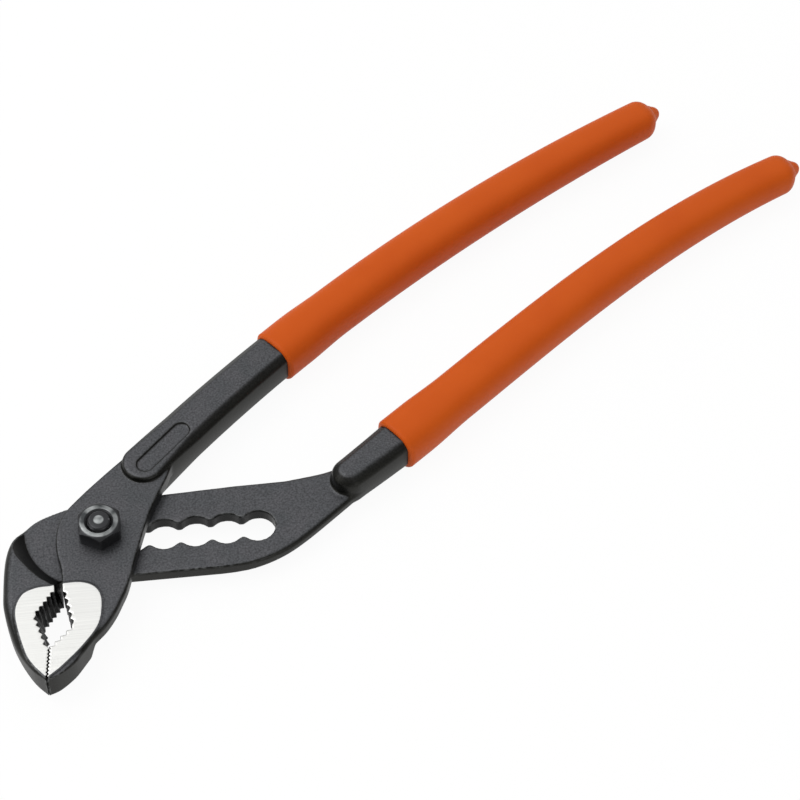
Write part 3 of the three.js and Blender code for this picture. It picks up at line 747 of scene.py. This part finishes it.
def dipped_sleeve(name, line, mouth, bare):
    """A sleeve as one closed skin: a rounded oblong, whose half sizes are a row of the profile, carried
    along the centre line up the hollow to the mouth, over its lip and back outside to the nib."""
    points, way, along = line
    long = along[-1]
    tang_end = long - sleeve_end
    inward = np.linspace(tang_end, bare + tang_ease, 40)
    fall = (inward - bare - tang_ease) / (tang_end - bare - tang_ease) * (tang_width - tang_tip)
    hollow = np.vstack([
        [(tang_end + hollow_past, 0, 0), (tang_end + hollow_past, tang_tip, tang_tip)],
        np.stack([inward, tang_width + hollow_gap - fall, tang_height + hollow_gap - fall], axis=-1),
        [(bare + mouth_deep, mouth + mouth_gap, shank_half + mouth_gap)],
        [(bare + 0.1, mouth + lip_gap, shank_half + lip_gap)],
    ])
    bend = np.linspace(0, np.pi / 2, 7)
    lip_wide, lip_high = sleeve_width + sleeve_bead - mouth, sleeve_height + sleeve_bead - shank_half
    lip = np.stack([
        bare + lip_long * (1 - np.cos(bend)), mouth + lip_wall + (lip_wide - lip_wall) * np.sin(bend),
        shank_half + lip_wall + (lip_high - lip_wall) * np.sin(bend)], axis=-1)
    at = np.linspace(bare + lip_long + 0.2, long - dome_long - nib_long, 90)
    ease = ramp(at - bare, (bead_long, bead_ease))
    bead = sleeve_bead * (1 - ease * ease * (3 - 2 * ease))
    start = bare + bead_long + bead_ease
    thin = ramp(at, (start, at[-1] - start)) ** 2 * (sleeve_width - sleeve_tip)
    outside = np.stack([at, sleeve_width + bead - thin, sleeve_height + bead - thin], axis=-1)
    bend = np.radians(np.linspace(dome_from, dome_to, 12))
    tall = sleeve_height - sleeve_width + sleeve_tip
    dome = np.stack([
        long - nib_long + dome_long * (np.sin(bend) - 1),
        sleeve_tip * np.cos(bend), tall * np.cos(bend)], axis=-1)
    nib = np.array([(long - back, half, half) for back, half in nib_rows])
    rows = np.vstack([hollow, lip, outside, dome, nib])
    around = np.linspace(0, 2 * np.pi, 72, endpoint=False)
    power = np.full(len(rows), 2 / sleeve_square)
    power[:len(hollow) - 2] = 2 / hollow_square
    power[len(hollow) - 2:len(hollow)] = 2 / mouth_square
    power[len(hollow):len(hollow) + len(lip)] = 2 / np.linspace(mouth_square, sleeve_square, len(lip))
    power[1 - len(nib):] = 1

    def bent(value):
        return np.sign(value) * np.abs(value) ** power[:, None]
    across, up = rows[:, 1:2] * bent(np.cos(around)), rows[:, 2:] * bent(np.sin(around))
    px, py = (np.interp(rows[:, 0], along, points[:, k])[:, None] for k in (0, 1))
    wx, wy = (np.interp(rows[:, 0], along, way[:, k])[:, None] for k in (0, 1))
    return ring_piece(name, np.stack([px - wy * across, py + wx * across, lap + up], axis=-1))


lower_grip = dipped_sleeve("lower_sleeve_dipped", lower_line, lower_mouth, lower_bare)
upper_grip = dipped_sleeve("upper_sleeve_dipped", upper_line, upper_mouth, upper_bare)

# Plasticised PVC: an even orange with a soft satin skin from the dip, faintly wavy where it ran before
# it set, its tone drifting slightly deeper red in runs of 14 mm
pvc = bpy.data.materials.new("dipped PVC")
pvc.use_nodes = True
tree = pvc.node_tree
shader = tree.nodes["Principled BSDF"]
place = add(tree, "TexCoord", {}).outputs["Object"]
# runs of 14 mm, waves of 3 mm and a fine bloom of 0.4 mm
runs, wave, bloom = noise(tree, place, 14, 2), noise(tree, place, 3, 1), noise(tree, place, 0.4, 2)
tone = blend(tree, runs, linear("#b94a0d"), linear("#c45514"))
rough = spread(tree, bloom, 0, 1, 0.36, 0.5)
height = add(tree, "Mix", {0: 0.25, 2: wave, 3: bloom}).outputs[0]
bump = add(tree, "Bump", {"Height": height, "Strength": 0.15, "Distance": 0.08 * MM}).outputs[0]
tree.links.new(tone, shader.inputs["Base Color"])
tree.links.new(rough, shader.inputs["Roughness"])
tree.links.new(bump, shader.inputs["Normal"])
shader.inputs["IOR"].default_value = 1.53
shader.inputs["Specular IOR Level"].default_value = 0.09
for grip, body, node in ((lower_grip, "lower", "lower_grip"), (upper_grip, "upper", "upper_grip")):
    grip.data.materials.append(pvc)
    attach(grip, body)
    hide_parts(node)

# Floor, light and camera: a plain white table under soft light from above and behind, with weaker soft
# lamps at the left and low in front, and the photograph's camera, 0.79 m from the tool with a long lens.
floor_mesh = bpy.data.meshes.new("table")
reach, drop, glow_share = 20, 1e-4, 0.94
corners = [(-reach, -reach, -drop), (reach, -reach, -drop), (reach, reach, -drop), (-reach, reach, -drop)]
floor_mesh.from_pydata(corners, [], [(0, 1, 2, 3)])
floor = bpy.data.objects.new("table", floor_mesh)
bpy.context.scene.collection.objects.link(floor)
paper = bpy.data.materials.new("white paper")
paper.use_nodes = True
tree = paper.node_tree
shader = tree.nodes["Principled BSDF"]
shader.inputs["Base Color"].default_value = linear("#f4f4f3")
shader.inputs["Roughness"].default_value = 0.9
shader.inputs["Specular IOR Level"].default_value = 0.1
path = add(tree, "LightPath", {}).outputs
seen = add(tree, "Math", {0: path["Is Camera Ray"], 1: path["Is Glossy Ray"]}, operation="MAXIMUM")
seen = add(tree, "Math", {0: seen.outputs[0], 1: path["Is Transmission Ray"]}, operation="MAXIMUM")
seen = add(tree, "Math", {0: seen.outputs[0], 1: glow_share}, operation="MULTIPLY")
white = add(tree, "Emission", {"Color": (1, 1, 1, 1), "Strength": 1.0})
mixed = add(tree, "MixShader", {0: seen.outputs[0], 1: shader.outputs[0], 2: white.outputs[0]})
tree.links.new(mixed.outputs[0], tree.nodes["Material Output"].inputs["Surface"])
floor_mesh.materials.append(paper)

# the room: a wide soft glow above and behind, which falls to a dim one in front
world = bpy.data.worlds.new("studio")
bpy.context.scene.world = world
world.use_nodes = True
tree = world.node_tree
way = add(tree, "TexCoord", {}).outputs["Generated"]
toward = add(tree, "VectorMath", {0: way, 1: (-0.1, 0.42, 0.9)}, operation="DOT_PRODUCT").outputs["Value"]
glow = spread(tree, toward, 0.25, 0.9, 0.35, 1.15, interpolation_type="SMOOTHSTEP")
tree.links.new(glow, tree.nodes["Background"].inputs["Strength"])
tree.nodes["Background"].inputs["Color"].default_value = (1, 1, 1, 1)

tool_middle = Vector((0.08, 0.03, 0))


def soft_light(name, place, size, power):
    """A square lamp that faces the tool's middle."""
    lamp = bpy.data.lights.new(name, "AREA")
    lamp.size, lamp.energy = size, power
    made = bpy.data.objects.new(name, lamp)
    made.location = place
    made.rotation_euler = (tool_middle - Vector(place)).to_track_quat("-Z", "Y").to_euler()
    bpy.context.scene.collection.objects.link(made)


soft_light("overhead", (-0.45, 0.15, 0.8), 0.6, 2.8)
soft_light("left", (-0.8, -0.15, 0.3), 0.5, 1.2)
soft_light("front", (0.55, -0.75, 0.22), 0.6, 1.5)

camera = bpy.data.cameras.new("photograph")
camera.lens, camera.sensor_width = 135, 36
viewer = bpy.data.objects.new("photograph", camera)
viewer.location = (0.0302, -0.4260, 0.6453)
target = Vector((0.08034, 0.03533, 0.00665))
viewer.rotation_euler = (target - viewer.location).to_track_quat("-Z", "Y").to_euler()
bpy.context.scene.collection.objects.link(viewer)
bpy.context.scene.camera = viewer
bpy.context.scene.view_settings.view_transform = "Standard"
